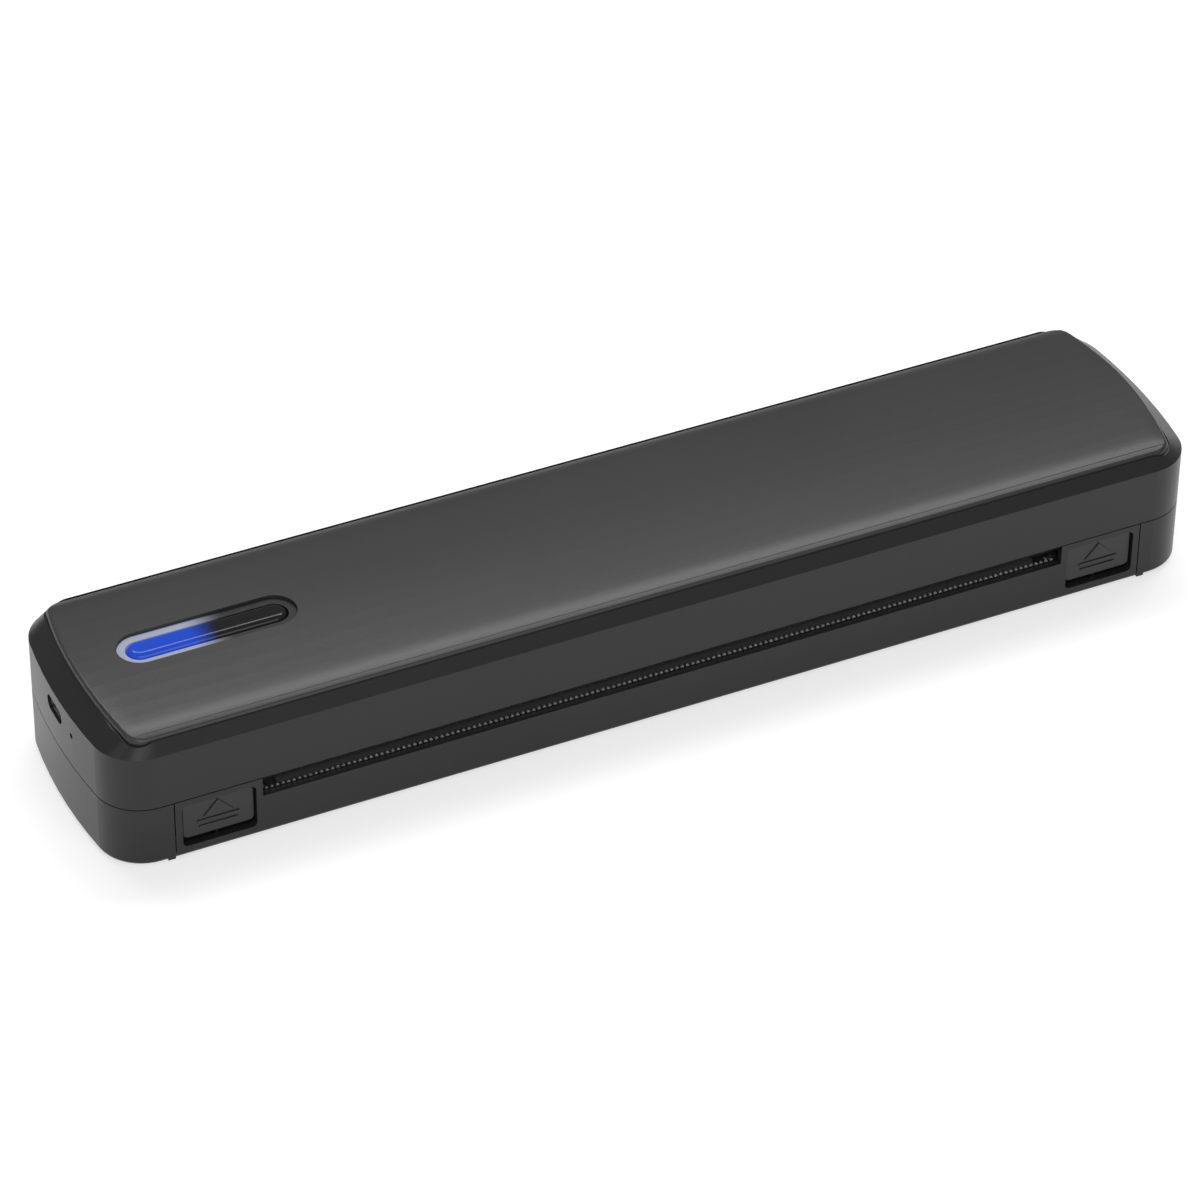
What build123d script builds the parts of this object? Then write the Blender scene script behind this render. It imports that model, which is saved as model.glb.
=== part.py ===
from build123d import *
import math
import os

os.makedirs("parts", exist_ok=True)

# A portable A4 thermal printer lying on its feet, in millimetres.
# X runs along the paper's width, the paper leaves towards -Y, +Z is up, the floor is z = 0.

# ---------------------------------------------------------------- driving dimensions
length = 310.0
depth = 66.0
crown_top = 40.6
foot_height = 0.6
wall = 2.0
end_bow = 3.4
corner_r = 12.5
seam_z = 18.4
part_gap = 0.3
shoulder_z = 34.4
shoulder_side = 2.0
shoulder_end = 4.8
panel_edge_z = 38.1
panel_thickness = 1.4
panel_corner_r = 5.0
panel_groove = 0.35
panel_edge_round = 1.1
deck_thickness = 1.6
bottom_round = 1.2

# front flap, its hinge and the paper mouth
flap_width = 274.0
mouth_width = 227.0
mouth_sill_z = 12.6
flap_skin = 2.0
hinge_back = 2.8
hinge_z = 5.0
hinge_pin_r = 1.25
hinge_pin_inside = 1.8
hinge_pin_outside = 2.6
running_gap = 0.06
flap_lip_r = 5.2
lip_skin = 1.8
cheek = 2.0
cheek_depth = 12.0
flap_open_deg = 80.0

# release buttons in the ends of the flap
button_width = 19.2
button_height = 10.9
button_thickness = 1.7
button_recess = 0.9
button_travel = 1.4
button_corner_r = 1.4
button_side_gap = 0.35
button_rim = 1.6
tongue_width = 9.0
tongue_thickness = 0.9
tongue_rise = 0.8
button_flange = 1.0
button_spring_r = 1.0
button_spring_wire = 0.25

# platen roller and the print head pressed on it
roller_back = 8.0
roller_z = 8.55
roller_r = 4.2
roller_length = 216.0
platen_shaft_r = 2.0
bushing_r = 3.0
arm_thickness = 2.6
arm_boss_r = 3.9
arm_gap = 0.4
head_angle = 30.0
head_gap = 0.3
head_strip_thickness = 1.0
head_strip_low = -5.0
head_strip_high = 3.5
heat_sink_thickness = 3.0
heat_sink_length = 218.0
head_pivot_up = 10.5
head_pivot_back = 3.0
head_pivot_r = 1.5
head_spring_r = 2.0
head_spring_wire = 0.5
head_spring_count = 4
head_spring_pitch = 56.0
spring_beam_back = 9.4
spring_beam_thickness = 1.2

# tear bar on the flap
tooth_pitch = 1.5
tooth_height = 0.9
tear_bar_thickness = 0.5
tear_bar_height = 5.0
tear_bar_proud = 0.9

# steel mechanism frame
frame_plate = 1.6
frame_inner = 110.6
frame_top_z = 25.5
frame_back_y = 6.0

# gears, stepper motor
gear_module = 0.5
platen_teeth = 16
idler_small_teeth = 14
idler_large_teeth = 24
pinion_teeth = 12
gear_width = 2.6
gear_layer_gap = 0.5
gear_line_deg = 10.0
motor_line_deg = 35.0
pressure_deg = 20.0
tooth_backlash = 0.12
motor_r = 10.0
motor_length = 15.0
motor_shaft_r = 1.0
motor_bracket = 1.4

# rear paper mouth, guide and inner deck
rear_mouth_width = 226.0
rear_mouth_z = 6.0
rear_mouth_height = 4.6
guide_thickness = 1.6
guide_rise = 0.8
inner_deck_z = 12.6
inner_deck_thickness = 1.5
deck_leg = 2.0

# electronics
board_x = -116.0
board_length = 66.0
board_width = 34.0
board_thickness = 1.2
board_top_z = 27.3
port_y = 1.6
port_z = 28.9
port_width = 9.0
port_height = 3.2
port_depth = 7.4
port_mouth_width = 10.0
port_mouth_height = 4.4
port_skin = 0.35
port_pocket_wall = 0.8
pin_hole_y = -9.4
pin_hole_z = 28.4
pin_hole_r = 0.8
cell_r = 9.1
cell_length = 65.0
cell_gap = 1.0
cell_y = 17.0

# power button in its pill-shaped well
pill_x = -113.4
pill_y = 1.9
pill_length = 48.2
pill_width = 12.4
pill_button_length = 43.4
pill_button_width = 7.4
pill_ring_drop = 1.0
pill_ring_thickness = 1.0
pill_button_height = 4.3
pill_button_round = 1.9
pill_ledge = 1.5
pill_flange = 1.6
pill_flange_thickness = 0.8
pill_stem_r = 2.0
pill_button_travel = 0.5
switch_size = 6.0
switch_height = 3.5
reset_size = 3.4
reset_height = 2.6
sensor_width = 5.0
sensor_height = 1.8
lamp_length = 3.0
lamp_width = 2.0
lamp_height = 1.0
board_screw_x = 56.0
board_screw_y = 28.0
board_screw_bite = 5.0

# feet and screws
foot_r = 4.0
foot_inset_x = 28.0
foot_inset_y = 10.0
screw_inset_x = 16.0
screw_inset_y = 12.0
screw_r = 1.3
screw_head_r = 2.5
screw_head_height = 1.5
case_screw_bite = 6.0

# ---------------------------------------------------------------- values worked out from them
half_depth = depth / 2
front_y = -half_depth
bottom_z = foot_height
floor_top_z = bottom_z + wall
half_panel = half_depth - shoulder_side
crown_rise = crown_top - panel_edge_z
crown_r = (half_panel**2 + crown_rise**2) / (2 * crown_rise)
crown_z = crown_top - crown_r
hinge_y = front_y + hinge_back
roller_y = front_y + roller_back
contact_cos = math.cos(math.radians(head_angle))
contact_sin = math.sin(math.radians(head_angle))
head_plane = Plane(
    origin=(0, roller_y + roller_r * contact_cos, roller_z + roller_r * contact_sin),
    x_dir=(0, contact_cos, contact_sin),
    z_dir=(1, 0, 0),
)
head_back = head_gap + head_strip_thickness + heat_sink_thickness
button_x = (flap_width + mouth_width) / 4
button_top_z = seam_z - part_gap - button_rim - button_side_gap
button_low_z = button_top_z - button_height
button_face_y = front_y + button_recess
arm_x = roller_length / 2 + arm_gap + arm_thickness / 2
gear_x = frame_inner + frame_plate + gear_layer_gap
large_gear_x = gear_x + gear_width + gear_layer_gap
bracket_x = large_gear_x + gear_width + gear_layer_gap
gear_line = math.radians(gear_line_deg)
motor_line = math.radians(motor_line_deg)
idler_reach = gear_module * (platen_teeth + idler_small_teeth) / 2
motor_reach = gear_module * (idler_large_teeth + pinion_teeth) / 2
idler_y = roller_y + idler_reach * math.cos(gear_line)
idler_z = roller_z + idler_reach * math.sin(gear_line)
motor_y = idler_y + motor_reach * math.cos(motor_line)
motor_z = idler_z + motor_reach * math.sin(motor_line)
guide_top_z = floor_top_z + guide_rise + guide_thickness
board_z = board_top_z - board_thickness
pill_top_z = crown_z + math.sqrt(crown_r**2 - pill_y**2)
ring_top_z = pill_top_z - pill_ring_drop
both_sides = (-1, 1)


# ---------------------------------------------------------------- shared profiles
def plan_outline(z, side=0.0, end=0.0, corner=corner_r):
    """The housing seen from above, drawn in from its long sides and its bowed ends."""
    y = half_depth - side
    tip = length / 2 - end
    with BuildSketch(Plane.XY.offset(z)) as outline:
        with BuildLine():
            Line((-tip + end_bow, -y), (tip - end_bow, -y))
            ThreePointArc((tip - end_bow, -y), (tip, 0), (tip - end_bow, y))
            Line((tip - end_bow, y), (-tip + end_bow, y))
            ThreePointArc((-tip + end_bow, y), (-tip, 0), (-tip + end_bow, -y))
        make_face()
        fillet(outline.vertices(), corner)
    return outline.sketch


def under_crown(drop):
    """Section of everything under the crowned top, lowered by drop."""
    with BuildSketch(Plane.YZ) as section:
        with Locations((0, crown_z)):
            Circle(crown_r - drop)
    return section.sketch


def bar_outline(plane, centre, size, corner=0.0):
    """A rectangle with rounded corners on any plane."""
    with BuildSketch(plane) as outline:
        with Locations(centre):
            if corner > 0:
                RectangleRounded(size[0], size[1], corner)
            else:
                Rectangle(size[0], size[1])
    return outline.sketch


def pill_outline(z, size_x, size_y):
    """The long rounded outline of the power button and its well."""
    with BuildSketch(Plane.XY.offset(z)) as outline:
        with Locations((pill_x, pill_y)):
            SlotOverall(size_x, size_y)
    return outline.sketch


def disc(plane, centre, radius):
    """A circle on any plane."""
    with BuildSketch(plane) as outline:
        with Locations(centre):
            Circle(radius)
    return outline.sketch


def gear_profile(plane, centre, teeth, turn=0.0):
    """A spur gear whose flanks are involutes, each drawn through four points."""
    pitch_r = gear_module * teeth / 2
    base_r = pitch_r * math.cos(math.radians(pressure_deg))
    tip_r = pitch_r + gear_module
    root_r = pitch_r - 1.25 * gear_module
    start_r = max(base_r, root_r)
    pitch_roll = math.tan(math.radians(pressure_deg)) - math.radians(pressure_deg)
    half_tooth = (math.pi * gear_module / 2 - tooth_backlash) / (2 * pitch_r)

    def flank(radius):
        roll = math.acos(min(1.0, base_r / radius))
        return half_tooth + pitch_roll - (math.tan(roll) - roll)

    def polar(radius, angle):
        return (radius * math.cos(angle), radius * math.sin(angle))

    radii = [start_r + (tip_r - start_r) * step / 3 for step in range(4)]
    points = []
    for tooth in range(teeth):
        middle = math.radians(turn) + 2 * math.pi * tooth / teeth
        points.append(polar(root_r, middle - flank(start_r)))
        points += [polar(radius, middle - flank(radius)) for radius in radii[1:]]
        points += [polar(radius, middle + flank(radius)) for radius in reversed(radii[1:])]
        points.append(polar(root_r, middle + flank(start_r)))
    with BuildSketch(plane) as profile:
        with Locations(centre):
            Polygon(*points, align=None)
    return profile.sketch


def save(part, name):
    """Label a finished piece and write it out."""
    part.label = name
    export_step(part, f"parts/{name}.step")


# ---------------------------------------------------------------- lower case
with BuildPart() as lower_case:
    extrude(plan_outline(bottom_z), amount=seam_z - part_gap / 2 - bottom_z)
    fillet(lower_case.edges().group_by(Axis.Z)[0], bottom_round)
    extrude(
        plan_outline(floor_top_z, wall, wall, corner_r - wall),
        amount=seam_z,
        mode=Mode.SUBTRACT,
    )
    # cheeks beside the flap carry its hinge pins
    for side in both_sides:
        cheek_x = side * (flap_width / 2 + part_gap + cheek / 2)
        extrude(
            bar_outline(
                Plane.XY.offset(bottom_z),
                (cheek_x, front_y + cheek_depth / 2),
                (cheek, cheek_depth),
            ),
            amount=seam_z - part_gap / 2 - bottom_z,
        )
    # the whole front wall between the cheeks makes room for the flap
    opening = flap_width + 2 * part_gap
    extrude(
        bar_outline(
            Plane.XY.offset(floor_top_z),
            (0, front_y + cheek_depth / 2 - 1),
            (opening, cheek_depth + 2),
        ),
        amount=seam_z,
        mode=Mode.SUBTRACT,
    )
    extrude(
        disc(Plane.YZ, (hinge_y, hinge_z), flap_lip_r + part_gap),
        amount=opening / 2,
        both=True,
        mode=Mode.SUBTRACT,
    )
    extrude(
        bar_outline(Plane.XY, (0, hinge_y - hinge_back), (opening, 2 * hinge_back)),
        amount=floor_top_z + 1,
        mode=Mode.SUBTRACT,
    )
    extrude(
        disc(Plane.YZ, (hinge_y, hinge_z), hinge_pin_r + running_gap),
        amount=flap_width / 2 + hinge_pin_outside + part_gap,
        both=True,
        mode=Mode.SUBTRACT,
    )
    # rear paper mouth
    extrude(
        bar_outline(
            Plane.XZ,
            (0, rear_mouth_z + rear_mouth_height / 2),
            (rear_mouth_width, rear_mouth_height),
        ),
        amount=-depth,
        mode=Mode.SUBTRACT,
    )
    # screw bosses in the four corners
    with BuildSketch(Plane.XY.offset(floor_top_z)):
        with GridLocations(length - 2 * screw_inset_x, depth - 2 * screw_inset_y, 2, 2):
            Circle(screw_r + wall)
    extrude(amount=seam_z - part_gap / 2 - floor_top_z)
    with BuildSketch(Plane.XY.offset(seam_z)):
        with GridLocations(length - 2 * screw_inset_x, depth - 2 * screw_inset_y, 2, 2):
            Circle(screw_r + running_gap)
    extrude(amount=-seam_z, mode=Mode.SUBTRACT)
    with BuildSketch():
        with GridLocations(length - 2 * screw_inset_x, depth - 2 * screw_inset_y, 2, 2):
            Circle(screw_head_r + running_gap)
    extrude(amount=floor_top_z + screw_head_height - wall / 2, mode=Mode.SUBTRACT)
save(lower_case.part, "lower_case")

# ---------------------------------------------------------------- upper case
slope_height = crown_top - shoulder_z
slope = slope_height / (panel_edge_z - shoulder_z)
with BuildPart() as upper_hollow:
    extrude(
        plan_outline(seam_z - 1, wall, wall, corner_r - wall),
        amount=shoulder_z - wall - seam_z + 1,
    )
    extrude(
        plan_outline(seam_z, wall + shoulder_side, wall + shoulder_end, panel_corner_r),
        amount=crown_top - seam_z,
    )
    extrude(
        under_crown(panel_thickness + deck_thickness),
        amount=length,
        both=True,
        mode=Mode.INTERSECT,
    )

with BuildPart() as panel_rebate:
    extrude(
        plan_outline(shoulder_z, shoulder_side, shoulder_end, panel_corner_r + panel_groove),
        amount=crown_top,
    )
    extrude(under_crown(panel_thickness), amount=length, both=True, mode=Mode.SUBTRACT)

with BuildPart() as upper_case:
    extrude(plan_outline(seam_z + part_gap / 2), amount=shoulder_z - seam_z - part_gap / 2)
    loft(
        [
            plan_outline(shoulder_z).face(),
            plan_outline(
                shoulder_z + slope_height,
                shoulder_side * slope,
                shoulder_end * slope,
                panel_corner_r,
            ).face(),
        ]
    )
    extrude(under_crown(0), amount=length, both=True, mode=Mode.INTERSECT)
    add(upper_hollow.part, mode=Mode.SUBTRACT)
    add(panel_rebate.part, mode=Mode.SUBTRACT)
    # sloping lip over the paper mouth, in place of the plain wall
    with BuildSketch(Plane.YZ):
        with BuildLine():
            Polyline(
                (front_y, seam_z + part_gap / 2),
                (front_y + wall, seam_z - 2.4),
                (front_y + wall + 1.0, seam_z - 2.4),
                (front_y + wall + 1.0, seam_z + 2.0),
                (front_y + wall / 2, seam_z + 2.0),
                close=True,
            )
        make_face()
    extrude(amount=mouth_width / 2 - part_gap, both=True)
    # well of the power button, with a ledge that the light ring lies on
    extrude(
        pill_outline(board_top_z, pill_length - 2 * pill_ledge, pill_width - 2 * pill_ledge),
        amount=crown_top - board_top_z,
        mode=Mode.SUBTRACT,
    )
    extrude(
        pill_outline(ring_top_z - pill_ring_thickness, pill_length, pill_width),
        amount=crown_top,
        mode=Mode.SUBTRACT,
    )
    # charging port, reset hole
    extrude(
        bar_outline(
            Plane.YZ,
            (port_y, port_z),
            (port_mouth_width, port_mouth_height),
            port_mouth_height / 2 - 0.01,
        ),
        amount=-length,
        mode=Mode.SUBTRACT,
    )
    extrude(
        disc(Plane.YZ, (pin_hole_y, pin_hole_z), pin_hole_r),
        amount=-length,
        mode=Mode.SUBTRACT,
    )
    # bosses that take the case screws and the board's screws
    with BuildSketch(Plane.XY.offset(seam_z + part_gap / 2)):
        with GridLocations(length - 2 * screw_inset_x, depth - 2 * screw_inset_y, 2, 2):
            Circle(screw_r + wall)
    extrude(until=Until.NEXT)
    with BuildSketch(Plane.XY.offset(board_top_z)):
        with Locations((board_x, 0)):
            with GridLocations(board_screw_x, board_screw_y, 2, 2):
                Circle(screw_r + wall - part_gap)
    extrude(until=Until.NEXT)
    with BuildSketch(Plane.XY.offset(seam_z)):
        with GridLocations(length - 2 * screw_inset_x, depth - 2 * screw_inset_y, 2, 2):
            Circle(screw_r)
    extrude(amount=case_screw_bite, mode=Mode.SUBTRACT)
    with BuildSketch(Plane.XY.offset(board_top_z)):
        with Locations((board_x, 0)):
            with GridLocations(board_screw_x, board_screw_y, 2, 2):
                Circle(screw_r)
    extrude(amount=board_screw_bite, mode=Mode.SUBTRACT)
save(upper_case.part, "upper_case")

# ---------------------------------------------------------------- top panel
with BuildPart() as top_panel:
    extrude(
        plan_outline(
            shoulder_z,
            shoulder_side + panel_groove,
            shoulder_end + panel_groove,
            panel_corner_r,
        ),
        amount=crown_top,
    )
    extrude(under_crown(0), amount=length, both=True, mode=Mode.INTERSECT)
    fillet(top_panel.faces().sort_by(Axis.Z)[-1].edges(), panel_edge_round)
    extrude(under_crown(panel_thickness), amount=length, both=True, mode=Mode.SUBTRACT)
    extrude(
        pill_outline(shoulder_z, pill_length, pill_width),
        amount=crown_top,
        mode=Mode.SUBTRACT,
    )
save(top_panel.part, "top_panel")

# ---------------------------------------------------------------- power button and its light ring
with BuildPart() as light_ring:
    extrude(
        pill_outline(ring_top_z, pill_length - part_gap, pill_width - part_gap),
        amount=-pill_ring_thickness,
    )
    extrude(
        pill_outline(
            ring_top_z,
            pill_button_length + part_gap,
            pill_button_width + part_gap,
        ),
        amount=-pill_ring_thickness,
        mode=Mode.SUBTRACT,
    )
save(light_ring.part, "power_light_ring")

button_base_z = pill_top_z - pill_button_height
switch_top_z = board_top_z + switch_height
with BuildPart() as power_button:
    extrude(
        pill_outline(button_base_z, pill_button_length - part_gap, pill_button_width - part_gap),
        amount=pill_top_z - button_base_z,
    )
    fillet(power_button.faces().sort_by(Axis.Z)[-1].edges(), pill_button_round)
    # flange that stops it under the deck
    flange = pill_flange - 2 * pill_ledge
    extrude(
        pill_outline(button_base_z, pill_length + flange, pill_width + flange),
        amount=pill_flange_thickness,
    )
    extrude(
        disc(Plane.XY.offset(button_base_z), (pill_x, pill_y), pill_stem_r),
        amount=switch_top_z + pill_button_travel + part_gap - button_base_z,
    )
save(power_button.part, "power_button")

# ---------------------------------------------------------------- front flap
arm_centres = [side * arm_x for side in both_sides]
tear_top_z = mouth_sill_z + tear_bar_proud
tear_foot_z = tear_top_z - tear_bar_height
tear_back_y = front_y + flap_skin + tear_bar_thickness + part_gap
lip_end = math.radians(-25)
lip_foot = -math.acos((hinge_z - bottom_z) / flap_lip_r)
lip_start = (hinge_y + math.sqrt(flap_lip_r**2 - (hinge_z - bottom_z) ** 2), bottom_z)
inner_lip_r = flap_lip_r - lip_skin
skin_y = front_y + flap_skin
skin_foot_z = hinge_z - math.sqrt(inner_lip_r**2 - (hinge_back - flap_skin) ** 2)


def about_hinge(radius, angle):
    return (hinge_y + radius * math.cos(angle), hinge_z + radius * math.sin(angle))


def flap_section():
    """The flap cut across: a flat skin, a small bottom round and a lip about the hinge."""
    with BuildSketch(Plane.YZ) as section:
        with BuildLine():
            Line((front_y, mouth_sill_z), (front_y, bottom_z + bottom_round))
            ThreePointArc(
                (front_y, bottom_z + bottom_round),
                (
                    front_y + bottom_round * (1 - math.sqrt(0.5)),
                    bottom_z + bottom_round * (1 - math.sqrt(0.5)),
                ),
                (front_y + bottom_round, bottom_z),
            )
            Line((front_y + bottom_round, bottom_z), lip_start)
            ThreePointArc(
                lip_start,
                about_hinge(flap_lip_r, (lip_end + math.radians(-50)) / 2),
                about_hinge(flap_lip_r, lip_end),
            )
            Line(about_hinge(flap_lip_r, lip_end), about_hinge(inner_lip_r, lip_end))
            ThreePointArc(
                about_hinge(inner_lip_r, lip_end),
                about_hinge(inner_lip_r, math.radians(-70)),
                (skin_y, skin_foot_z),
            )
            Line((skin_y, skin_foot_z), (skin_y, mouth_sill_z))
            Line((skin_y, mouth_sill_z), (front_y, mouth_sill_z))
        make_face()
    return section.sketch


with BuildPart() as front_flap:
    extrude(flap_section(), amount=flap_width / 2, both=True)
    # the two ends rise to the seam and frame the buttons
    end_rise = seam_z - part_gap / 2 - mouth_sill_z
    for side in both_sides:
        extrude(
            bar_outline(
                Plane.XY.offset(mouth_sill_z),
                (side * button_x, front_y + flap_skin / 2),
                ((flap_width - mouth_width) / 2, flap_skin),
            ),
            amount=end_rise,
        )
        # end plates hold the hinge pins
        end_plate_x = side * flap_width / 2
        extrude(
            bar_outline(
                Plane.YZ.offset(end_plate_x),
                (hinge_y, hinge_z),
                (2 * hinge_back - 1, 6.4),
            ),
            amount=-side * (hinge_pin_inside - part_gap),
        )
    for centre in arm_centres:
        # arms that carry the roller
        with BuildSketch(Plane.YZ.offset(centre - arm_thickness / 2)):
            with BuildLine():
                Polyline(
                    (front_y + 0.5, tear_foot_z - part_gap),
                    (tear_back_y, tear_foot_z - part_gap),
                    (tear_back_y, mouth_sill_z - 1.0),
                    (roller_y, roller_z + arm_boss_r),
                    (roller_y, roller_z - arm_boss_r),
                    (hinge_y + 1, bottom_z + 0.5),
                    (front_y + 0.5, bottom_z + 2),
                    close=True,
                )
            make_face()
            with Locations((roller_y, roller_z)):
                Circle(arm_boss_r)
        extrude(amount=arm_thickness)
    for side in both_sides:
        # window and lower travel gap of each button
        extrude(
            bar_outline(
                Plane.XZ.offset(-front_y),
                (side * button_x, (button_top_z + button_low_z - button_travel) / 2),
                (
                    button_width + 2 * button_side_gap,
                    button_height + 2 * button_side_gap + button_travel,
                ),
                button_corner_r,
            ),
            amount=-flap_skin,
            mode=Mode.SUBTRACT,
        )
    extrude(
        disc(Plane.YZ, (roller_y, roller_z), bushing_r),
        amount=flap_width / 2,
        both=True,
        mode=Mode.SUBTRACT,
    )
    extrude(
        disc(Plane.YZ, (hinge_y, hinge_z), hinge_pin_r),
        amount=flap_width,
        both=True,
        mode=Mode.SUBTRACT,
    )
save(front_flap.part, "front_flap")

with BuildPart() as flap_hinge_pins:
    for side in both_sides:
        extrude(
            disc(
                Plane.YZ.offset(side * (flap_width / 2 - hinge_pin_inside)),
                (hinge_y, hinge_z),
                hinge_pin_r,
            ),
            amount=side * (hinge_pin_inside + hinge_pin_outside),
        )
save(flap_hinge_pins.part, "flap_hinge_pins")

# ---------------------------------------------------------------- tear bar behind the flap's sill
tooth_count = int(mouth_width / tooth_pitch) - 1
with BuildPart() as tear_bar:
    half_bar = tooth_count * tooth_pitch / 2
    crests = []
    for tooth in range(tooth_count):
        left = -half_bar + tooth * tooth_pitch
        crests.append((left, tear_top_z - tooth_height))
        crests.append((left + tooth_pitch / 2, tear_top_z))
    crests.append((half_bar, tear_top_z - tooth_height))
    with BuildSketch(Plane.XZ.offset(-skin_y)):
        Polygon((-half_bar, tear_foot_z), *crests, (half_bar, tear_foot_z), align=None)
    extrude(amount=-tear_bar_thickness)
save(tear_bar.part, "tear_bar")

# ---------------------------------------------------------------- release buttons
slide_y = skin_y + part_gap / 2


def release_button(side):
    """Sliding button: a face in the flap's window, a wider slide plate and a tongue."""
    centre_x = side * button_x
    with BuildPart() as button:
        extrude(
            bar_outline(
                Plane.XZ.offset(-button_face_y),
                (centre_x, (button_top_z + button_low_z) / 2),
                (button_width, button_height),
                button_corner_r,
            ),
            amount=-(slide_y - button_face_y),
        )
        fillet(button.faces().sort_by(Axis.Y)[0].edges(), 0.3)
        # the tongue stands behind the upper case's wall
        extrude(
            bar_outline(
                Plane.XZ.offset(-slide_y),
                (centre_x - side * button_flange / 2, (button_top_z + button_low_z) / 2),
                (button_width + button_flange, button_height),
                button_corner_r,
            ),
            amount=-tongue_thickness,
        )
        tongue_top_z = seam_z + tongue_rise
        extrude(
            bar_outline(
                Plane.XZ.offset(-slide_y),
                (centre_x, (button_top_z + tongue_top_z) / 2 - button_corner_r / 2),
                (tongue_width, tongue_top_z - button_top_z + button_corner_r),
            ),
            amount=-tongue_thickness,
        )
    return button.part


save(release_button(-1), "left_release_button")
save(release_button(1), "right_release_button")

# ---------------------------------------------------------------- platen roller
shaft_end = frame_inner + frame_plate + gear_layer_gap + gear_width
with BuildPart() as platen_shaft:
    left_end = arm_x + arm_thickness / 2 + part_gap
    extrude(disc(Plane.YZ.offset(-left_end), (roller_y, roller_z), platen_shaft_r), amount=left_end + shaft_end)
save(platen_shaft.part, "platen_shaft")

with BuildPart() as platen_rubber:
    extrude(disc(Plane.YZ, (roller_y, roller_z), roller_r), amount=roller_length / 2, both=True)
    extrude(
        disc(Plane.YZ, (roller_y, roller_z), platen_shaft_r),
        amount=roller_length,
        both=True,
        mode=Mode.SUBTRACT,
    )
save(platen_rubber.part, "platen_rubber")

with BuildPart() as platen_bushings:
    for centre in arm_centres:
        extrude(
            disc(Plane.YZ.offset(centre - arm_thickness / 2), (roller_y, roller_z), bushing_r),
            amount=arm_thickness,
        )
        extrude(
            disc(
                Plane.YZ.offset(centre - arm_thickness / 2),
                (roller_y, roller_z),
                platen_shaft_r + running_gap,
            ),
            amount=arm_thickness,
            mode=Mode.SUBTRACT,
        )
save(platen_bushings.part, "platen_bushings")

# ---------------------------------------------------------------- gears and motor
platen_turn = gear_line_deg
small_turn = gear_line_deg + 180 + 180 / idler_small_teeth
large_turn = motor_line_deg
pinion_turn = motor_line_deg + 180 + 180 / pinion_teeth

with BuildPart() as platen_gear:
    extrude(
        gear_profile(Plane.YZ.offset(gear_x), (roller_y, roller_z), platen_teeth, platen_turn),
        amount=gear_width,
    )
    extrude(
        disc(Plane.YZ.offset(gear_x), (roller_y, roller_z), platen_shaft_r),
        amount=gear_width,
        mode=Mode.SUBTRACT,
    )
save(platen_gear.part, "platen_gear")

gear_post_r = 1.25
with BuildPart() as idler_gear:
    extrude(
        gear_profile(Plane.YZ.offset(gear_x), (idler_y, idler_z), idler_small_teeth, small_turn),
        amount=gear_width + gear_layer_gap,
    )
    extrude(
        gear_profile(
            Plane.YZ.offset(large_gear_x), (idler_y, idler_z), idler_large_teeth, large_turn
        ),
        amount=gear_width,
    )
    extrude(
        disc(Plane.YZ.offset(gear_x), (idler_y, idler_z), gear_post_r + running_gap),
        amount=2 * gear_width + gear_layer_gap,
        mode=Mode.SUBTRACT,
    )
save(idler_gear.part, "idler_gear")

with BuildPart() as idler_post:
    extrude(
        disc(Plane.YZ.offset(frame_inner + frame_plate), (idler_y, idler_z), gear_post_r),
        amount=bracket_x - frame_inner - frame_plate,
    )
save(idler_post.part, "idler_post")

with BuildPart() as motor_pinion:
    extrude(
        gear_profile(
            Plane.YZ.offset(large_gear_x), (motor_y, motor_z), pinion_teeth, pinion_turn
        ),
        amount=gear_width,
    )
    # its shaft runs through the bracket into the motor
    extrude(
        disc(Plane.YZ.offset(large_gear_x), (motor_y, motor_z), motor_shaft_r),
        amount=gear_width + gear_layer_gap + motor_bracket + 1.0,
    )
save(motor_pinion.part, "motor_pinion")

with BuildPart() as stepper_motor:
    extrude(
        disc(Plane.YZ.offset(bracket_x + motor_bracket), (motor_y, motor_z), motor_r),
        amount=motor_length,
    )
    fillet(stepper_motor.faces().sort_by(Axis.X)[-1].edges(), 0.8)
    extrude(
        disc(
            Plane.YZ.offset(bracket_x + motor_bracket),
            (motor_y, motor_z),
            motor_shaft_r + running_gap,
        ),
        amount=1.0 + part_gap,
        mode=Mode.SUBTRACT,
    )
save(stepper_motor.part, "stepper_motor")

with BuildPart() as motor_plate:
    # bracket plate and two posts that stand on the frame's side plate
    with BuildSketch(Plane.YZ.offset(bracket_x)):
        with BuildLine():
            Polyline(
                (idler_y - 2.5, idler_z - 2.5),
                (idler_y - 2.5, idler_z + 2.5),
                (motor_y - 9, frame_top_z - 1),
                (frame_back_y, frame_top_z - 1),
                (frame_back_y, floor_top_z),
                (motor_y - 5, floor_top_z),
                close=True,
            )
        make_face()
        with Locations((motor_y, motor_z)):
            Circle(motor_shaft_r + part_gap, mode=Mode.SUBTRACT)
    extrude(amount=motor_bracket)
    with BuildSketch(Plane.YZ.offset(frame_inner + frame_plate)):
        for place in ((frame_back_y - 4, frame_top_z - 5), (frame_back_y - 4, floor_top_z + 4)):
            with Locations(place):
                Circle(2.0)
    extrude(amount=bracket_x - frame_inner - frame_plate)
save(motor_plate.part, "motor_bracket")

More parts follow.
